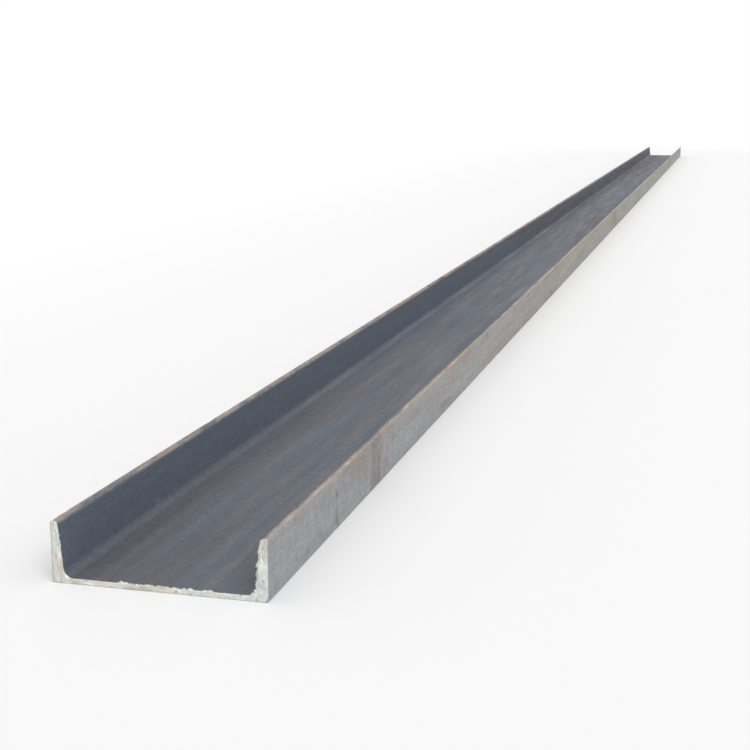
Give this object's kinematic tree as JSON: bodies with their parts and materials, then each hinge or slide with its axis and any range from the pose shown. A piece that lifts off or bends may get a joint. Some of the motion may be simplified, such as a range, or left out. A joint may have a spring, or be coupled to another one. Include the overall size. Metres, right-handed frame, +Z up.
{
  "type": "metal channel section",
  "caption": "Straight hot-rolled steel channel bar with a flat web, tapered flanges, filleted inside corners, rounded toes and sawn ends.",
  "frame": {"origin": "middle of the bar's length and width, on the back of the web, which rests on the floor", "axes": "+X across the section from flange to flange, +Y along the bar, +Z up from the back of the web to the toes"},
  "size_m": [0.3, 12, 0.085],
  "materials": {
    "hot_rolled_steel": "uncoated hot-rolled surface with grey mill scale and thin brown rust, matt, bare and brighter on the sawn ends"
  },
  "bodies": {
    "root": {"channel": "hot_rolled_steel"}
  },
  "joints": []
}
